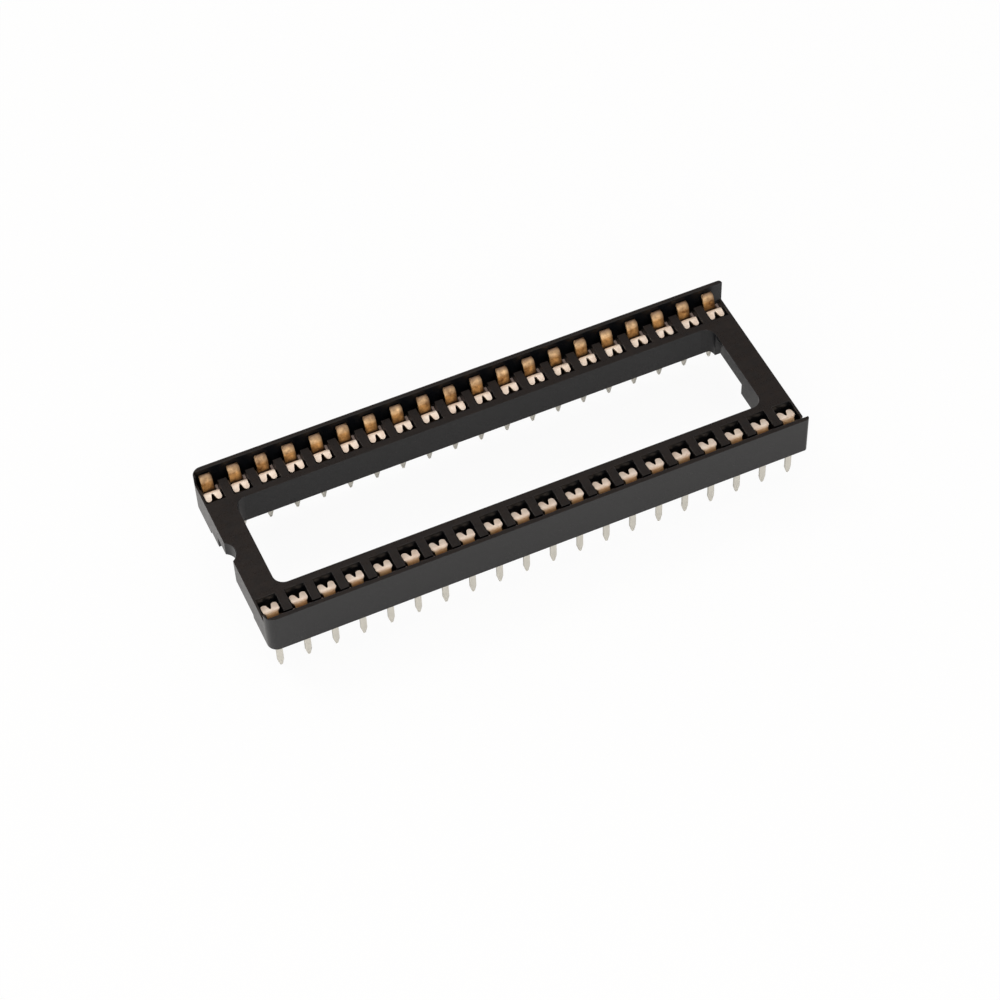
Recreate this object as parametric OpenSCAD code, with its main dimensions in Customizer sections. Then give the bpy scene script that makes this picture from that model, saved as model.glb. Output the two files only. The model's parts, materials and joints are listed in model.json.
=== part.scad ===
// Open-frame socket for a dual-in-line chip, with two-leaf spring contacts.
// Millimetres. The origin is the centre of the pin pattern, on the board that the rails stand on.
// +X runs along the rows away from the index notch, +Z is up, and the solder tails hang below zero.

/* [Pin pattern] */
// Contacts in each row
row_count = 20; // [4:1:28]
// Spacing of the contacts along a row
pitch = 2.54; // [2.5:0.02:3]
// Distance between the two rows
row_gap = 15.24; // [12.7:0.02:22.86]

/* [Rails] */
// Row line to the rail's window face
rail_inner = 2.62; // [2.4:0.02:3.2]
// Row line to the rail's outer face
rail_outer = 1.38; // [1.34:0.02:1.7]
// Height of the deck above the board
deck_h = 3.14; // [2.9:0.02:4]
// Height of the outer walls above the deck
wall_rise = 0.96; // [0.6:0.02:1.4]
// Thickness of the outer walls
wall_t = 0.38; // [0.34:0.02:0.46]
// Thickness of the pocket floors
floor_t = 0.6; // [0.4:0.02:0.8]

/* [Ends] */
// Width of the bars that join the rails
bar_w = 2.4; // [1.8:0.05:4]
// Clear height under the bars
bar_lift = 0.4; // [0.2:0.02:0.8]
// Wall between the last pocket and the end of the housing
end_wall = 0.19; // [0.15:0.01:0.5]
// How far the far outer wall runs past the plain end
ear_reach = 0.56; // [0.36:0.02:0.8]
// Radius of the housing's corners at the plain end
end_r = 0.3; // [0.15:0.05:0.3]
// Radius of the housing's corners at the notched end
corner_r = 0.9; // [0.75:0.05:1.2]
// Radius of the window's corners
window_r = 1; // [0.4:0.05:1.4]
// Width of the index notch
notch_w = 2.1; // [1:0.05:3]
// Depth of the index notch
notch_depth = 0.6; // [0.3:0.05:1]
// Clear height of the arch under each bar
arch_h = 1.63; // [1:0.02:2.2]
// Reach of the arch from the middle towards contact 1
arch_near = 1.05; // [0.5:0.05:2]
// Width of the core slot beside the arch
core_w = 1; // [0.6:0.05:1.4]
// Depth of the core slot into the bar
core_depth = 1; // [0.5:0.05:1.4]
// Plastic left over the core slot
core_roof = 0.3; // [0.2:0.05:0.6]

/* [Pockets] */
// Width of a contact pocket along the row
pocket_w = 1.76; // [1.7:0.02:1.9]
// Row line to the pocket's inner wall
pocket_inner = 1.72; // [1.6:0.02:1.9]
// Row line to the trough along the outer wall
trough_in = 0.12; // [0.05:0.01:0.3]
// Depth of that trough below the deck
trough_depth = 1.4; // [0.8:0.05:1.8]
// Width of the sloped lead-in at the pocket's inner edge
lead_in_w = 0.24; // [0.1:0.02:0.4]
// Depth of the sloped lead-in
lead_in_h = 0.5; // [0.2:0.02:0.8]

/* [Contacts] */
// Thickness of the sheet metal
sheet_t = 0.22; // [0.16:0.01:0.24]
// Bend radius at the middle of the sheet
bend_r = 0.3; // [0.26:0.01:0.34]
// Gap between the leaves where they grip a lead
grip_gap = 0.16; // [0.08:0.01:0.24]
// Depth of the grip below the deck
grip_drop = 1.09; // [0.95:0.01:1.2]
// Row line to the inner leaf's top bend
mouth_inner = 0.62; // [0.56:0.01:0.68]
// Row line to the inner leaf's foot
foot_inner = 0.95; // [0.9:0.01:1.1]
// Row line to the outer leaf's foot
foot_outer = 0.6; // [0.56:0.01:0.62]
// Row line to the knee where the outer leaf starts to curl
knee_outer = 0.45; // [0.4:0.01:0.5]
// Height of the outer leaf's curled top
curl_h = 0.6; // [0.5:0.01:0.7]
// Corner radius at the top of the outer leaf
leaf_r = 0.25; // [0.1:0.01:0.35]
// Downward slope of the fork in degrees
fork_droop = 15; // [10:1:20]
// Width of each tine at its rounded tip
tine_w = 0.54; // [0.46:0.01:0.58]
// Depth of the fork's slot, from the line of the tips
fork_slot = 0.7; // [0.6:0.01:0.74]
// Width of the slot's round end
fork_gap = 0.18; // [0.12:0.01:0.24]
// Height of the side wings below the deck
wing_drop = 0.8; // [0.5:0.02:1]
// Length of the side wings across the row
wing_len = 0.7; // [0.5:0.02:0.75]
// Length of the solder tails below the board face
tail_len = 3.94; // [2.5:0.02:5]
// Width of the solder tails
tail_w = 0.56; // [0.4:0.01:0.6]
// Length of the taper at a tail's tip
tail_taper = 0.7; // [0.5:0.05:1.5]
// Width of a tail's rounded tip
tail_tip = 0.26; // [0.16:0.01:0.3]

/* [Clearances] */
// Side wing to pocket wall
wing_clear = 0.03; // [0.01:0.01:0.06]
// Leaf edge to side wing
leaf_clear = 0.1; // [0.06:0.01:0.16]
// Fork to pocket wall at each side
fork_clear = 0.15; // [0.1:0.01:0.18]
// Fork tips to the pocket's inner wall
tip_clear = 0.27; // [0.2:0.01:0.4]
// Outer leaf to the outer wall
flare_clear = 0.06; // [0.04:0.01:0.1]
// Top of the inner leaf below the deck
inner_clear = 0.38; // [0.3:0.01:0.45]
// Top of the outer leaf below the wall's top
outer_clear = 0.47; // [0.4:0.01:0.6]
// Tail to the floor slot at each side
slot_clear = 0.04; // [0.02:0.01:0.08]

/* [Hidden] */
$fn = 48;
// Overshoot of cuts past the face that they open
over = 1;
// Degrees between the points of a bend
bend_step = 12;
row_y = row_gap / 2;
contact_count = 2 * row_count;
half_w = row_y + rail_outer;
window_half_w = row_y - rail_inner;
wall_h = deck_h + wall_rise;
wall_in = rail_outer - wall_t;
half_len = (row_count - 1) / 2 * pitch + pocket_w / 2 + end_wall;
window_half_len = half_len - bar_w;
core_end = window_half_w - window_r;
arch_far = core_end - core_w;
notch_r = (notch_w * notch_w / 4 + notch_depth * notch_depth) / (2 * notch_depth);

// Contact sections. Across is measured outward from the row line.
strip_w = 2 * pocket_w;
base_mid = floor_t + sheet_t / 2;
wing_mid = pocket_w / 2 - wing_clear - sheet_t / 2;
leaf_w = 2 * (wing_mid - sheet_t / 2 - leaf_clear);
grip_mid = (grip_gap + sheet_t) / 2;
grip_h = deck_h - grip_drop;
flare_mid = wall_in - flare_clear - sheet_t / 2;
fork_w = pocket_w - 2 * fork_clear;
neck_in = wing_len / 2 + leaf_clear;
fork_len = (pocket_inner - tip_clear - mouth_inner) / cos(fork_droop);
fork_dir = [-cos(fork_droop), -sin(fork_droop)];
mouth_top = [-mouth_inner, deck_h - inner_clear];
leaf_top = wall_h - outer_clear;
leaf_path = [
    [flare_mid, leaf_top],
    [knee_outer, leaf_top - curl_h],
    [grip_mid, grip_h],
    [foot_outer, base_mid],
    [-foot_inner, base_mid],
    [-grip_mid, grip_h],
    mouth_top,
    mouth_top + fork_dir * (fork_len + over)
];
wing_path = [
    [-wing_mid, deck_h - wing_drop],
    [-wing_mid, base_mid],
    [wing_mid, base_mid],
    [wing_mid, deck_h - wing_drop]
];
tail_path = [
    [-bend_r, base_mid],
    [0, base_mid],
    [0, base_mid - bend_r]
];

function two_digits(n) = n < 10 ? str("0", n) : str(n);
function contact_name(n) = str("contact_", two_digits(n));

// Directions along and to the left of a heading in degrees
function ahead(heading) = [cos(heading), sin(heading)];
function left(heading) = [-sin(heading), cos(heading)];

// Points on an arc from one angle to another, about one for every bend_step degrees
function arc(centre, r, from, to) =
    let (steps = ceil(abs(to - from) / bend_step))
    [for (i = [0:steps]) centre + r * ahead(from + (to - from) * i / steps)];

// Heading of a path's leg i, turn at its corner i, and the length of leg that the bend there takes up
function heading(path, i) =
    let (leg = path[i + 1] - path[i])
    atan2(leg[1], leg[0]);
function turn(path, i) =
    let (change = heading(path, i) - heading(path, i - 1))
    change > 180 ? change - 360 : change < -180 ? change + 360 : change;
function setback(path, i) = bend_r * tan(abs(turn(path, i)) / 2);

// One round bend of a path, at a distance to the left of the sheet's middle
function bend(path, i, aside) =
    let (
        start = heading(path, i - 1),
        side = sign(turn(path, i)),
        centre = path[i] - setback(path, i) * ahead(start) + side * bend_r * left(start)
    )
    arc(centre, bend_r - side * aside, start - side * 90, start - side * 90 + turn(path, i));

// One face of a bent sheet that follows a path of corner points
function sheet_face(path, aside) =
    let (last = len(path) - 1)
    concat(
        [path[0] + aside * left(heading(path, 0))],
        [for (i = [1:last - 1]) each bend(path, i, aside)],
        [path[last] + aside * left(heading(path, last - 1))]
    );

function reversed(points) = [for (i = [len(points) - 1:-1:0]) points[i]];

// Edge view of a bent sheet
module sheet_edge(path) {
    polygon(concat(sheet_face(path, sheet_t / 2), reversed(sheet_face(path, -sheet_t / 2))));
}

// Edge view in the across and up plane, given its width along the row
module along_row(width) {
    rotate([90, 0, 90])
        linear_extrude(width, center = true)
            children();
}

// Half of the flat fork: from the stem at the mouth bend to a rounded tine
function tine(side) =
    let (
        tip_x = (fork_w - tine_w) / 2,
        tip_y = fork_len - tine_w / 2
    )
    concat(
        [[side * fork_w / 2, -over]],
        arc([side * tip_x, tip_y], tine_w / 2, 90 - side * 90, 90 + side * 90)
    );

// Outline of the flat fork, from its stem at the origin to its tips at +Y
module fork_outline() {
    slot_end = arc([0, fork_len - fork_slot + fork_gap / 2], fork_gap / 2, 0, -180);
    polygon(concat(tine(1), slot_end, reversed(tine(-1))));
}

// Waste outside the rounded corner at the outer leaf's top, on the +X side
module outer_leaf_corner() {
    translate([leaf_w / 2 - leaf_r, strip_w / 2, leaf_top - leaf_r])
        rotate([90, 0, 0])
            linear_extrude(strip_w / 2)
                difference() {
                    square(leaf_r + over);
                    circle(r = leaf_r);
                }
}

// Plan of the waste on the strip's +X side, which widens past the wings to the width of the fork
module beside_strip() {
    polygon([
        [leaf_w / 2, strip_w],
        [leaf_w / 2, -neck_in],
        [fork_w / 2, -mouth_inner],
        [fork_w / 2, -strip_w],
        [strip_w, -strip_w],
        [strip_w, strip_w]
    ]);
}

// What the blanking die removes around the leaves and the fork
module blanked_away() {
    for (side = [0, 1])
        mirror([side, 0, 0]) {
            translate([0, 0, -over])
                linear_extrude(wall_h + 2 * over)
                    beside_strip();
            translate([leaf_w / 2, -strip_w, -over])
                cube([strip_w, 2 * strip_w, grip_h + over]);
            outer_leaf_corner();
        }
    translate([0, mouth_top[0], mouth_top[1]])
        rotate([180 + fork_droop, 0, 0])
            linear_extrude(2 * bend_r, center = true)
                difference() {
                    translate([-strip_w, 0])
                        square([2 * strip_w, strip_w]);
                    fork_outline();
                }
}

// Solder tail with a tapered, rounded tip, drawn with the row along X and up along Y
module tail_outline() {
    tip_y = -tail_len + tail_tip / 2;
    polygon([
        [-tail_w / 2, base_mid - bend_r],
        [-tail_w / 2, tail_taper - tail_len],
        [-tail_tip / 2, tip_y],
        [tail_tip / 2, tip_y],
        [tail_w / 2, tail_taper - tail_len],
        [tail_w / 2, base_mid - bend_r]
    ]);
    translate([0, tip_y])
        circle(d = tail_tip);
}

// Window in the base that the tail is pressed out of
module lance_window() {
    width = tail_w + 2 * slot_clear;
    length = bend_r + wing_len / 2;
    translate([-width / 2, -bend_r, floor_t - over])
        cube([width, length, 2 * over]);
}

// One stamped contact at the row line, with its outer leaf towards +Y
module contact() {
    difference() {
        union() {
            difference() {
                along_row(strip_w)
                    sheet_edge(leaf_path);
                blanked_away();
            }
            rotate([90, 0, 0])
                linear_extrude(wing_len, center = true)
                    sheet_edge(wing_path);
        }
        lance_window();
    }
    along_row(tail_w)
        sheet_edge(tail_path);
    rotate([90, 0, 0])
        linear_extrude(sheet_t, center = true)
            tail_outline();
}

module placed_contact(n) {
    far = n > row_count;
    step = far ? contact_count - n : n - 1;
    color("#c9a37c")
        translate([(step - (row_count - 1) / 2) * pitch, far ? row_y : -row_y, 0])
            rotate(far ? 0 : 180)
                contact();
}

// Plan of the housing: tight corners at the plain end, wide corners at the notched end
module housing_plan() {
    translate([-half_len + corner_r, -half_w])
        square([2 * half_len - corner_r - end_r, 2 * half_w]);
    translate([-half_len, -half_w + corner_r])
        square([corner_r, 2 * (half_w - corner_r)]);
    translate([half_len - end_r, -half_w + end_r])
        square([end_r, 2 * (half_w - end_r)]);
    for (side = [-1, 1]) {
        translate([-half_len + corner_r, side * (half_w - corner_r)])
            circle(r = corner_r);
        translate([half_len - end_r, side * (half_w - end_r)])
            circle(r = end_r);
    }
}

// Window between the rails, with rounded corners
module window_plan() {
    square([2 * window_half_len, 2 * (window_half_w - window_r)], center = true);
    square([2 * (window_half_len - window_r), 2 * window_half_w], center = true);
    for (sx = [-1, 1], sy = [-1, 1])
        translate([sx * (window_half_len - window_r), sy * (window_half_w - window_r)])
            circle(r = window_r);
}

// Plan of the outer wall on the +Y side: it turns the notched corner and ends at the plain end
module wall_plan() {
    difference() {
        housing_plan();
        translate([-half_len - over, -half_w - over])
            square([2 * (half_len + over), 2 * half_w + over - corner_r]);
        translate([end_wall - half_len, -half_w])
            square([2 * half_len, half_w + row_y + wall_in]);
    }
}

// Plan of the far wall's ear past the plain end, rounded on its outer side
module ear_plan() {
    translate([half_len - over, half_w - wall_t])
        square([over + ear_reach - end_r, wall_t]);
    translate([half_len - over, half_w - wall_t])
        square([over + ear_reach, wall_t - end_r]);
    translate([half_len + ear_reach - end_r, half_w - end_r])
        circle(r = end_r);
}

// Cut for one contact on the +Y rail: pocket, sloped lead-in and the tail's slot in the floor
module pocket_cut() {
    translate([-pocket_w / 2, -pocket_inner, floor_t])
        cube([pocket_w, pocket_inner + wall_in, wall_h]);
    along_row(pocket_w)
        polygon([
            [-pocket_inner - lead_in_w, deck_h],
            [-pocket_inner, deck_h - lead_in_h],
            [0, deck_h - lead_in_h],
            [0, deck_h + over],
            [-pocket_inner - lead_in_w, deck_h + over]
        ]);
    slot_w = tail_w + 2 * slot_clear;
    slot_in = bend_r + slot_clear;
    slot_out = sheet_t / 2 + slot_clear;
    translate([-slot_w / 2, -slot_in, -over])
        cube([slot_w, slot_in + slot_out, floor_t + 2 * over]);
}

// Trough along the inside of the +Y outer wall, closed at the notched end
module trough_cut() {
    translate([end_wall - half_len, row_y + trough_in, deck_h - trough_depth])
        cube([2 * half_len + over, wall_in - trough_in, wall_h]);
}

// Space under one bar and its window corners, drawn on the +X end: the bar clears the board and is arched
module under_bar_cut() {
    translate([window_half_len - window_r, -window_half_w, -over])
        cube([window_r + bar_w + over, 2 * window_half_w, over + bar_lift]);
    translate([window_half_len - over, -arch_near, -over])
        cube([bar_w + 2 * over, arch_near + arch_far, over + arch_h]);
}

// Slot that cores out the plain end's bar beside its arch
module core_cut() {
    translate([window_half_len - over, arch_far, -over])
        cube([over + core_depth, core_w, over + deck_h - core_roof]);
}

module notch_cut() {
    translate([-half_len - notch_r + notch_depth, 0, -over])
        cylinder(r = notch_r, h = wall_h + 2 * over);
}

module housing() {
    color("#202023")
        difference() {
            union() {
                linear_extrude(deck_h)
                    housing_plan();
                for (side = [0, 1])
                    mirror([0, side, 0])
                        linear_extrude(wall_h)
                            wall_plan();
                linear_extrude(wall_h)
                    ear_plan();
            }
            translate([0, 0, -over])
                linear_extrude(wall_h + 2 * over)
                    window_plan();
            for (side = [0, 1])
                mirror([0, side, 0]) {
                    trough_cut();
                    for (i = [0:row_count - 1])
                        translate([(i - (row_count - 1) / 2) * pitch, row_y, 0])
                            pocket_cut();
                }
            for (end = [0, 1])
                mirror([end, 0, 0])
                    under_bar_cut();
            core_cut();
            notch_cut();
        }
}

housing();
for (n = [1:contact_count])
    placed_contact(n);
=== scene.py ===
# %% [markdown]
# # A 40-way IC socket
# A socket like this is soldered to a board so that a chip can be pushed in and pulled out again.
# It has one black moulded frame and forty stamped contacts, twenty along each side.
# The solids come from the CAD model, so this lesson adds no shape of its own. It is about looks:
# smooth bends, soft edges, a black plastic that mirrors its surroundings, and two tones of metal.

# %% Load the solids
import json
from math import radians

import bpy
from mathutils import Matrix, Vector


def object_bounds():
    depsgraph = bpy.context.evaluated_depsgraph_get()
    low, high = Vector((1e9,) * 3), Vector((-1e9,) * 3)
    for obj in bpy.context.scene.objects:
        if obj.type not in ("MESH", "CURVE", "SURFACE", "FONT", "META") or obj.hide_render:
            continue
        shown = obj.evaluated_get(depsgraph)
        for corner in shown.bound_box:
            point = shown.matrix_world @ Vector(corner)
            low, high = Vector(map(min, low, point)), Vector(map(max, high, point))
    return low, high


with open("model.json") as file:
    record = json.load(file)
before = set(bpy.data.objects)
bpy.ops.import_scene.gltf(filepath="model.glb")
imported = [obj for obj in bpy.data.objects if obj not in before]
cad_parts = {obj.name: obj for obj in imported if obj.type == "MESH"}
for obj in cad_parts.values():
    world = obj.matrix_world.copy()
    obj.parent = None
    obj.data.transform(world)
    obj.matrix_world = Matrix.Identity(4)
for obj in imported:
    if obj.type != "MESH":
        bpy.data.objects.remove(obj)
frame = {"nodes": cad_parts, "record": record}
cad_low, cad_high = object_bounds()
housing = frame["nodes"]["housing"]
contacts = [node for name, node in sorted(frame["nodes"].items()) if name.startswith("contact_")]
MM = 0.001
print(f"loaded the housing and {len(contacts)} contacts, {(cad_high - cad_low) / MM} mm overall")

# %% [markdown]
# ## Camera
# A long lens looks down at about fifty degrees, from the front and a little towards the notched end.
# The place and angles were solved from the photograph's contacts and edges, because a socket is a
# regular grid and shows a wrong lens at once. Aiming by eye would leave the far row adrift.

# %% Camera
SENSOR_MM, LENS_MM = 36, 101.55
CAMERA_PLACE_MM = (-59.783, -143.675, 189.884)
CAMERA_TURN_DEG = (38.7988, 1.6126, -24.4866)
NEAREST_SEEN = 5 * MM

scene = bpy.context.scene
camera_data = bpy.data.cameras.new("photo_camera")
camera_data.sensor_width = SENSOR_MM
camera_data.lens = LENS_MM
camera_data.clip_start = NEAREST_SEEN
camera = bpy.data.objects.new("photo_camera", camera_data)
camera.location = [length * MM for length in CAMERA_PLACE_MM]
camera.rotation_euler = [radians(angle) for angle in CAMERA_TURN_DEG]
scene.collection.objects.link(camera)
scene.camera = camera
scene.view_settings.view_transform = "Standard"
print(f"camera {camera.location.length / MM:.0f} mm from the socket, {LENS_MM} mm lens")

# %% [markdown]
# ## Helpers for shader nodes
# Every finish below is a small network of nodes. The first helper adds one node, sets its properties and
# plain input values, and links the inputs that are given as another node's output. The others are short
# names for what comes up most: one sum, one blend of two colours, and one fresh material.

# %% Node helpers
def add(tree, kind, inputs=(), **properties):
    node = tree.nodes.new(kind)
    for name, value in properties.items():
        setattr(node, name, value)
    for socket, value in dict(inputs).items():
        if isinstance(value, bpy.types.NodeSocket):
            tree.links.new(value, node.inputs[socket])
        else:
            node.inputs[socket].default_value = value
    return node


def maths(tree, operation, first, second=0.0, clamp=False):
    node = add(tree, "ShaderNodeMath", {0: first, 1: second}, operation=operation, use_clamp=clamp)
    return node.outputs[0]


def blend(tree, factor, first, second):
    factor_in, first_in, second_in, colour_out = 0, 6, 7, 2
    inputs = {factor_in: factor, first_in: first, second_in: second}
    return add(tree, "ShaderNodeMix", inputs, data_type="RGBA").outputs[colour_out]


def new_material(name):
    material = bpy.data.materials.new(name)
    material.use_nodes = True
    return material, material.node_tree, material.node_tree.nodes["Principled BSDF"]


print("node helpers ready")

# %% [markdown]
# ## Floor
# The photograph's socket lies on plain white. A floor lit up to white would flood the object with light,
# so this one is an ordinary pale surface that takes the socket's shadow, and most of what the camera
# sees of it is a plain white glow instead. Mirrors see a little of that glow too.

# %% Floor plane
FLOOR_HALF = 1500 * MM

floor_z = cad_low.z
floor_mesh = bpy.data.meshes.new("floor")
floor_mesh.from_pydata(
    [(x * FLOOR_HALF, y * FLOOR_HALF, floor_z) for x, y in ((-1, -1), (1, -1), (1, 1), (-1, 1))],
    [],
    [(0, 1, 2, 3)],
)
floor = bpy.data.objects.new("floor", floor_mesh)
scene.collection.objects.link(floor)
print(f"floor at {floor_z / MM:.2f} mm, under the tail tips")

# %% White table
TABLE_WHITE = (0.88, 0.88, 0.88, 1)
TABLE_ROUGHNESS = 0.9
CAMERA_GLOW, MIRROR_GLOW = 0.93, 0.1

table, tree, paper = new_material("white_table")
paper.inputs["Base Color"].default_value = TABLE_WHITE
paper.inputs["Roughness"].default_value = TABLE_ROUGHNESS
paper.inputs["Specular IOR Level"].default_value = 0.0
rays = add(tree, "ShaderNodeLightPath").outputs
mirror_rays = maths(tree, "ADD", rays["Is Glossy Ray"], rays["Is Transmission Ray"])
seen = maths(tree, "MULTIPLY", rays["Is Camera Ray"], CAMERA_GLOW)
mirrored = maths(tree, "MULTIPLY", mirror_rays, MIRROR_GLOW)
share = maths(tree, "ADD", seen, mirrored, clamp=True)
glow = add(tree, "ShaderNodeEmission", {"Color": (1, 1, 1, 1), "Strength": 1.0})
mix = add(tree, "ShaderNodeMixShader", {0: share, 1: paper.outputs[0], 2: glow.outputs[0]})
tree.links.new(mix.outputs[0], tree.nodes["Material Output"].inputs["Surface"])
floor_mesh.materials.append(table)
print(f"the camera sees {CAMERA_GLOW:.0%} plain white there, mirrors {MIRROR_GLOW:.0%}")

# %% [markdown]
# ## Surroundings
# Black gloss and bare metal have hardly any colour of their own: they show the room. The photograph's
# room is a white table under a dim ceiling, so the sky here is a cool white at the horizon and a dim
# warm grey above. A ramp over the height of the viewing direction gives that without any picture.

# %% Sky
HORIZON_HEIGHT, HORIZON_WHITE = 0.15, (0.93, 0.96, 1.0, 1)
CEILING_HEIGHT, CEILING_GREY = 0.75, (0.22, 0.185, 0.165, 1)

world = bpy.data.worlds.new("studio")
world.use_nodes = True
scene.world = world
tree = world.node_tree
direction = add(tree, "ShaderNodeTexCoord").outputs["Generated"]
height = add(tree, "ShaderNodeSeparateXYZ", {0: direction}).outputs["Z"]
sky = add(tree, "ShaderNodeValToRGB", {0: height})
horizon, ceiling = sky.color_ramp.elements
horizon.position, horizon.color = HORIZON_HEIGHT, HORIZON_WHITE
ceiling.position, ceiling.color = CEILING_HEIGHT, CEILING_GREY
tree.links.new(sky.outputs["Color"], tree.nodes["Background"].inputs["Color"])
print("sky runs from cool white at the horizon to dim warm grey overhead")

# %% [markdown]
# ## Studio light
# One big lamp would flood the deck and leave the pockets black, so four soft panels share the work. One
# overhead and one behind on the left reach down to the forks. One in front glints on rounded edges.
# The strongest stands low on the front left: it brightens the table there, which the front wall mirrors.
# None of them is where the deck would mirror it, so the deck stays dark.

# %% Lamps
SOFT_WHITE, WARM_WHITE = (1.0, 0.98, 0.95), (1.0, 0.97, 0.93)


def panel(name, place, size, watts, tint=SOFT_WHITE):
    lamp = bpy.data.lights.new(name, "AREA")
    lamp.shape = "SQUARE"
    lamp.size = size
    lamp.energy = watts
    lamp.color = tint
    lamp_object = bpy.data.objects.new(name, lamp)
    lamp_object.location = place
    lamp_object.rotation_euler = lamp_object.location.to_track_quat("Z", "Y").to_euler()
    lamp_object.visible_camera = False
    scene.collection.objects.link(lamp_object)
    return lamp_object


panels = [
    panel("panel_overhead", place=(0.06, 0.03, 0.55), size=0.30, watts=0.55),
    panel("panel_back_left", place=(-0.20, 0.24, 0.45), size=0.20, watts=0.75),
    panel("panel_front", place=(0.12, -0.37, 0.31), size=0.28, watts=0.45, tint=WARM_WHITE),
    panel("panel_front_left", place=(-0.30, -0.45, 0.25), size=0.30, watts=1.80),
]
print(f"{len(panels)} panels, {sum(lamp.data.energy for lamp in panels):.2f} W together")

# %% [markdown]
# ## Smooth bends and clean flats
# The imported solids are made of flat facets, also where the strip is bent and the corners are round. Smooth
# shading hides the facets, but alone it would also smear light across the square edges. So the mesh is
# joined up, cut open again along every edge sharper than a bend's facets, and given weighted normals,
# which keep each large flat face flat. No point moves, so the shape stays that of the solids.

# %% Smooth shading
WELD_GAP = 0.0001 * MM
FLAT_ANGLE = radians(0.5)
CREASE_ANGLE = radians(35)


def smooth_bends(node):
    node.data.polygons.foreach_set("use_smooth", [True] * len(node.data.polygons))
    weld = node.modifiers.new("weld", "WELD")
    weld.merge_threshold = WELD_GAP
    flats = node.modifiers.new("flats", "DECIMATE")
    flats.decimate_type = "DISSOLVE"
    flats.angle_limit = FLAT_ANGLE
    creases = node.modifiers.new("creases", "EDGE_SPLIT")
    creases.split_angle = CREASE_ANGLE
    creases.use_edge_sharp = False
    flatten = node.modifiers.new("flatten", "WEIGHTED_NORMAL")
    flatten.keep_sharp = True


for node in [housing, *contacts]:
    smooth_bends(node)
print("bends smoothed on", 1 + len(contacts), "pieces")

# %% [markdown]
# ## Shared surface effects
# Three effects serve both the plastic and the metal, so each is a node group that is built once.
# Speckle is a cloudy variation, streaks are the same cloud drawn out along one axis, and dust is a
# thin film that settles on what faces up. All of them work in millimetres of the object itself, so a
# grain has a real size and no unwrapped map is needed.

# %% Group helpers
CLOUD_DETAIL, CLOUD_ROUGHNESS = 4.0, 0.6
CLOUD_DARKEST, CLOUD_BRIGHTEST = 0.3, 0.7


def effect(name, sockets):
    group = bpy.data.node_groups.new(name, "ShaderNodeTree")
    for socket, value in sockets.items():
        kind = "NodeSocketVector" if isinstance(value, tuple) else "NodeSocketFloat"
        group.interface.new_socket(socket, in_out="INPUT", socket_type=kind).default_value = value
    group.interface.new_socket("Value", in_out="OUTPUT", socket_type="NodeSocketFloat")
    return group, add(group, "NodeGroupInput").outputs, add(group, "NodeGroupOutput")


def placed(tree, group, **values):
    node = add(tree, "ShaderNodeGroup", node_tree=group)
    for name, value in values.items():
        node.inputs[name.replace("_", " ")].default_value = value
    return node.outputs["Value"]


def in_millimetres(tree):
    place = add(tree, "ShaderNodeTexCoord").outputs["Object"]
    scaled = add(tree, "ShaderNodeVectorMath", {0: place, "Scale": 1 / MM}, operation="SCALE")
    return scaled.outputs[0]


def cloud(group, place, low, high):
    noise = add(
        group,
        "ShaderNodeTexNoise",
        {"Vector": place, "Scale": 1.0, "Detail": CLOUD_DETAIL, "Roughness": CLOUD_ROUGHNESS},
    )
    limits = {1: CLOUD_DARKEST, 2: CLOUD_BRIGHTEST, 3: low, 4: high}
    return add(group, "ShaderNodeMapRange", {0: noise.outputs[0], **limits}).outputs[0]


print("group helpers ready")

# %% Speckle
speckle, given, out = effect("speckle", {"Grains per mm": 1.0, "Low": 0.0, "High": 1.0})
sized = add(
    speckle,
    "ShaderNodeVectorMath",
    {0: in_millimetres(speckle), "Scale": given["Grains per mm"]},
    operation="SCALE",
)
speckle.links.new(cloud(speckle, sized.outputs[0], given["Low"], given["High"]), out.inputs["Value"])
print("speckle group made")

# %% Streaks
streaks, given, out = effect("streaks", {"Lines per mm": (1.0, 1.0, 1.0), "Low": 0.0, "High": 1.0})
drawn = add(
    streaks,
    "ShaderNodeVectorMath",
    {0: in_millimetres(streaks), 1: given["Lines per mm"]},
    operation="MULTIPLY",
)
streaks.links.new(cloud(streaks, drawn.outputs[0], given["Low"], given["High"]), out.inputs["Value"])
print("streaks group made")

# %% Dust
STEEPEST_DUSTY, FULLY_DUSTY = 0.3, 0.9

dust, given, out = effect("dust", {"Amount": 0.5})
facing = add(dust, "ShaderNodeNewGeometry").outputs["Normal"]
upward = add(dust, "ShaderNodeSeparateXYZ", {0: facing}).outputs["Z"]
lying = add(dust, "ShaderNodeMapRange", {0: upward, 1: STEEPEST_DUSTY, 2: FULLY_DUSTY}).outputs[0]
patchy = placed(dust, speckle, Grains_per_mm=1.3, Low=0.35)
film = maths(dust, "MULTIPLY", maths(dust, "MULTIPLY", lying, patchy), given["Amount"])
dust.links.new(film, out.inputs["Value"])
print("dust group made")

# %% [markdown]
# ## Black moulded plastic
# The frame is glass-filled plastic, dyed through. Nearly all its light is a mirror image: faint on the
# deck, stronger on the end face that is seen at a grazing angle. So the colour is almost black and the
# plain gloss of the shader does the work. Fine grain and flow streaks along the rails keep it from
# looking like glass, and a brownish film of dust warms the deck. A moulded edge is never a knife edge,
# so the shader rounds the edges by a few hundredths of a millimetre, where gloss catches the light.

# %% Plastic colour and gloss
DYED_BLACK = (0.0016, 0.0020, 0.0028, 1)
DUST_BROWN = (0.0150, 0.0078, 0.0042, 1)
PLASTIC_IOR = 1.48

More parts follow.
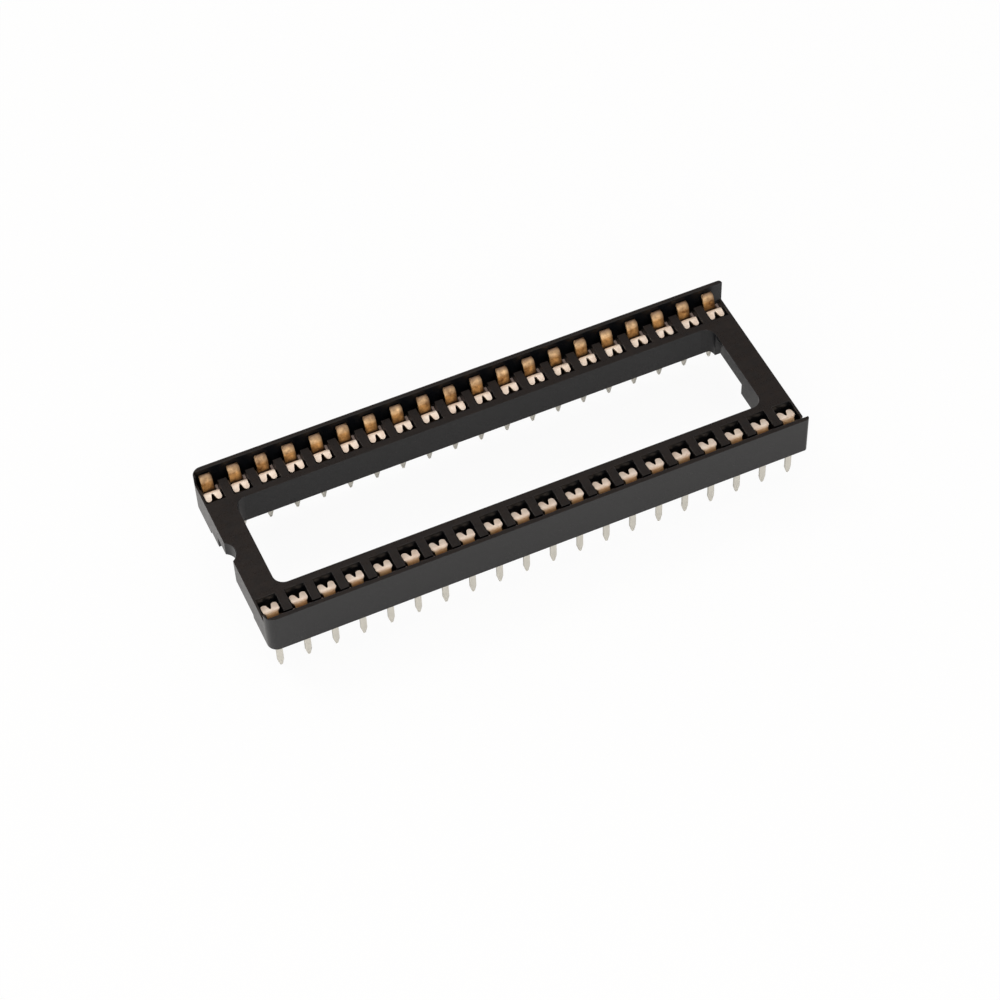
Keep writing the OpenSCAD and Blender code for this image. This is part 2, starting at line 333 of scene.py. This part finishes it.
plastic, tree, surface = new_material("black_moulding")
film = placed(tree, dust, Amount=0.6)
tree.links.new(blend(tree, film, DYED_BLACK, DUST_BROWN), surface.inputs["Base Color"])
grain = placed(tree, speckle, Grains_per_mm=9.0, Low=-0.05, High=0.05)
flow = placed(tree, streaks, Lines_per_mm=(0.25, 1.2, 1.2), Low=0.29, High=0.34)
tree.links.new(maths(tree, "ADD", flow, grain), surface.inputs["Roughness"])
surface.inputs["IOR"].default_value = PLASTIC_IOR
print("plastic colour and gloss made")


# %% Rounded edges and relief
def relief(tree, surface, edge_radius, heights, depth, strength):
    rounded = add(tree, "ShaderNodeBevel", {"Radius": edge_radius}).outputs["Normal"]
    bumps = add(
        tree,
        "ShaderNodeBump",
        {"Strength": strength, "Distance": depth, "Height": heights, "Normal": rounded},
    )
    tree.links.new(bumps.outputs["Normal"], surface.inputs["Normal"])


MOULDED_EDGE = 0.06 * MM

pores = placed(tree, speckle, Grains_per_mm=14.0)
relief(tree, surface, MOULDED_EDGE, pores, depth=0.004 * MM, strength=0.35)
housing.data.materials.clear()
housing.data.materials.append(plastic)
print("housing finished in", plastic.name)

# %% [markdown]
# ## Zones of the contact strip
# Each contact is one bent strip of copper alloy. The fork and the tail are plated pale, and the two
# leaves show warm bare bronze, mottled, paler at the mouth and with a painted shade towards one edge.
# Separate materials would need cuts in the mesh, so one material tells the zones apart by place: a leaf
# lies outside the fork's bend, between the wings and above the base. The strip was plated before it was
# cut, so the sheared edges of the fork are bare too. Three more zones are painted light and shade: a
# painted shade on the stem and the wings down in the pocket, a painted highlight on one wing, and
# painted light on the outward face of a leaf below the mouth. The far row is the near row turned half
# round, so every place is measured from the contact's own middle: how far outward, how far along and
# how high.

# %% Place on the strip
tail_grid = next(mount["dims"] for mount in frame["record"]["mounts"] if mount["name"] == "solder_tails")
pitch = tail_grid["spacing_x_mm"]
row_offset = tail_grid["spacing_y_mm"] / 2


def both(tree, first, second):
    return maths(tree, "MULTIPLY", first, second)


def strip_place(tree):
    place = add(tree, "ShaderNodeSeparateXYZ", {0: in_millimetres(tree)}).outputs
    normal = add(tree, "ShaderNodeNewGeometry").outputs["Normal"]
    facing = add(tree, "ShaderNodeSeparateXYZ", {0: normal}).outputs
    side = maths(tree, "SIGN", place["Y"])
    cell = maths(tree, "FRACT", maths(tree, "DIVIDE", place["X"], pitch))
    along = both(tree, maths(tree, "SUBTRACT", cell, 0.5), pitch)
    return {
        "level": place["Z"],
        "outward": maths(tree, "SUBTRACT", maths(tree, "ABSOLUTE", place["Y"]), row_offset),
        "off_middle": maths(tree, "ABSOLUTE", along),
        "right": both(tree, along, side),
        "facing_out": both(tree, facing["Y"], side),
        "facing_up": maths(tree, "ABSOLUTE", facing["Z"]),
    }


print(f"contacts every {pitch} mm, {row_offset} mm from the middle line")

# %% Zones
# Each pair is where a zone starts and where it is full, in mm, or in parts of 1 for a facing.
LEAF_OUTWARD, LEAF_LEVEL, LEAF_HALF_WIDTH = (-0.6, -0.3), (0.9, 1.2), 0.58
# Painted highlight: the wing on the right-hand side is painted paler, as one that catches light.
WING_OUTWARD, WING_RIGHT = (-0.46, -0.4), (0.0, 0.1)
# Painted shade: the stem of the leaf and the wings are painted dark down in the pocket, where shade falls.
STEM_OUTWARD, STEM_DEPTH, STEM_LEAN = (-0.68, -0.58), (2.38, 2.16), 0.6
ABOVE_TAIL = (0.1, 0.3)
SHEARED_OUTWARD, SHEARED_LEVEL, SHEARED_FACING_UP = (-0.78, -0.88), (1.5, 1.7), (0.8, 0.4)
# Painted light: the outward face of a leaf, below the mouth, is painted a brighter bronze.
OUTER_FACING, OUTER_LEVEL = (-0.1, 0.3), (3.0, 2.8)
# Painted shade: each leaf is painted darker towards its right-hand edge.
SIDE_SHADE_RIGHT, SIDE_SHADE_SHARE = (0.15, 0.5), 0.8


def rise(tree, value, limits):
    start, full = limits
    return add(tree, "ShaderNodeMapRange", {0: value, 1: start, 2: full}).outputs[0]


def strip_zones(tree, place):
    level, outward, right = place["level"], place["outward"], place["right"]
    between_wings = maths(tree, "LESS_THAN", place["off_middle"], LEAF_HALF_WIDTH)
    beside = maths(tree, "SUBTRACT", 1.0, between_wings)
    leaf = both(tree, rise(tree, outward, LEAF_OUTWARD), between_wings)
    wing = both(tree, beside, rise(tree, outward, WING_OUTWARD))
    depth = maths(tree, "ADD", level, both(tree, outward, STEM_LEAN))
    stem = both(tree, rise(tree, depth, STEM_DEPTH), rise(tree, outward, STEM_OUTWARD))
    cut_face = both(tree, rise(tree, place["facing_up"], SHEARED_FACING_UP), rise(tree, level, SHEARED_LEVEL))
    lit_outer_face = rise(tree, place["facing_out"], OUTER_FACING)
    return {
        "leaf": both(tree, leaf, rise(tree, level, LEAF_LEVEL)),
        "sheared": both(tree, rise(tree, outward, SHEARED_OUTWARD), cut_face),
        # painted shade on the stem and the wings, down in the pocket
        "pocket_shade": both(tree, maths(tree, "MAXIMUM", stem, wing), rise(tree, level, ABOVE_TAIL)),
        # painted highlight on the right-hand wing
        "wing_highlight": both(tree, wing, rise(tree, right, WING_RIGHT)),
        # painted light on the outward face of a leaf, below the mouth
        "lit_outer_face": both(tree, lit_outer_face, rise(tree, level, OUTER_LEVEL)),
        # painted shade towards the right-hand edge of each leaf
        "painted_side_shade": both(tree, rise(tree, right, SIDE_SHADE_RIGHT), SIDE_SHADE_SHARE),
    }


strip, tree, surface = new_material("contact_strip")
place = strip_place(tree)
zone = strip_zones(tree, place)
print("zones of the strip:", ", ".join(zone))

# %% [markdown]
# ## Plated and bare metal
# Bare bronze is never one colour: handling and heat leave it cloudy. So the plating and each bronze are a
# pair of tones, mixed by one speckle, and the zones then lay one metal over another. A full mirror metal
# would look almost black inside the pockets, where it mirrors only dark plastic. So this one is mostly a
# coloured surface with a soft gloss, as a dulled strip is.

# %% Tones of the leaves
BRONZE = (0.14, 0.05, 0.008, 1), (0.78, 0.42, 0.145, 1)
MOUTH_BRONZE = (0.26, 0.14, 0.06, 1), (0.90, 0.60, 0.32, 1)
# The brighter bronze of the painted light on the outward faces.
PAINTED_LIGHT_BRONZE = (0.84, 0.50, 0.20, 1), (0.98, 0.72, 0.37, 1)
LEAF_TOP_BROWN = (0.20, 0.12, 0.07, 1)
# The colour of the painted shade at the right-hand edge of each leaf.
SIDE_SHADE_BROWN = (0.10, 0.05, 0.02, 1)
MOUTH_LEVEL, LEAF_TOP_LEVEL = (2.9, 3.3), (3.35, 3.65)

cloudy = placed(tree, speckle, Grains_per_mm=1.7)
mouth = blend(tree, cloudy, *MOUTH_BRONZE)
lit_bronze = blend(tree, cloudy, *PAINTED_LIGHT_BRONZE)
bronze = blend(tree, cloudy, *BRONZE)
bronze = blend(tree, rise(tree, place["level"], MOUTH_LEVEL), bronze, mouth)
bronze = blend(tree, rise(tree, place["level"], LEAF_TOP_LEVEL), bronze, LEAF_TOP_BROWN)
# Painted shade: the leaves darken towards their right-hand edge.
bronze = blend(tree, zone["painted_side_shade"], bronze, SIDE_SHADE_BROWN)
# Painted light: the outward faces of the leaves below the mouth get the brighter bronze.
bronze = blend(tree, zone["lit_outer_face"], bronze, lit_bronze)
print("bronze of the leaves made")

# %% Tones of the strip
PLATE = (0.84, 0.67, 0.54, 1), (0.98, 0.86, 0.74, 1)
TAIL_TIN = (0.585, 0.565, 0.505, 1)
SHEARED_BROWN = (0.34, 0.24, 0.15, 1)
# The colour of the painted shade down in the pocket.
POCKET_SHADE_BROWN = (0.10, 0.065, 0.04, 1)
# The colour of the painted highlight on the right-hand wing.
WING_HIGHLIGHT_GREY = (0.36, 0.28, 0.25, 1)
TAIL_LEVEL = (0.2, -0.2)
STRIP_METALLIC = 0.3

metal = blend(tree, cloudy, *PLATE)
metal = blend(tree, rise(tree, place["level"], TAIL_LEVEL), metal, TAIL_TIN)
metal = blend(tree, zone["leaf"], metal, bronze)
metal = blend(tree, zone["sheared"], metal, SHEARED_BROWN)
# Painted shade on the stem and the wings, down in the pocket.
metal = blend(tree, zone["pocket_shade"], metal, POCKET_SHADE_BROWN)
# Painted highlight on the right-hand wing.
metal = blend(tree, zone["wing_highlight"], metal, WING_HIGHLIGHT_GREY)
tree.links.new(metal, surface.inputs["Base Color"])
surface.inputs["Metallic"].default_value = STRIP_METALLIC
print("strip colour made")

# %% [markdown]
# ## Rolling lines
# Sheet metal is rolled, which leaves fine lines. Here they run the length of the strip and over its bends,
# so the streaks are close together along the row and long the other way. They vary the gloss and add a
# faint relief. Punching leaves a small radius on the edges, which is made in the shader as on the plastic.

# %% Rolled surface
PUNCHED_EDGE = 0.03 * MM

rolled = placed(tree, streaks, Lines_per_mm=(22.0, 0.7, 0.7), Low=0.40, High=0.54)
tree.links.new(rolled, surface.inputs["Roughness"])
lines = placed(tree, streaks, Lines_per_mm=(30.0, 0.9, 0.9))
relief(tree, surface, PUNCHED_EDGE, lines, depth=0.002 * MM, strength=0.3)
for contact in contacts:
    contact.data.materials.clear()
    contact.data.materials.append(strip)
print(f"{len(contacts)} contacts finished in", strip.name)

# %% [markdown]
# ## Sizes, and the end
# Finishes move no point, so the dressed socket has to fill the same box as the solids. The last line
# prints the box of the solids.

# %% Print the box of the solids
print("CAD box", [round(side / MM, 3) for side in cad_high - cad_low], "mm")
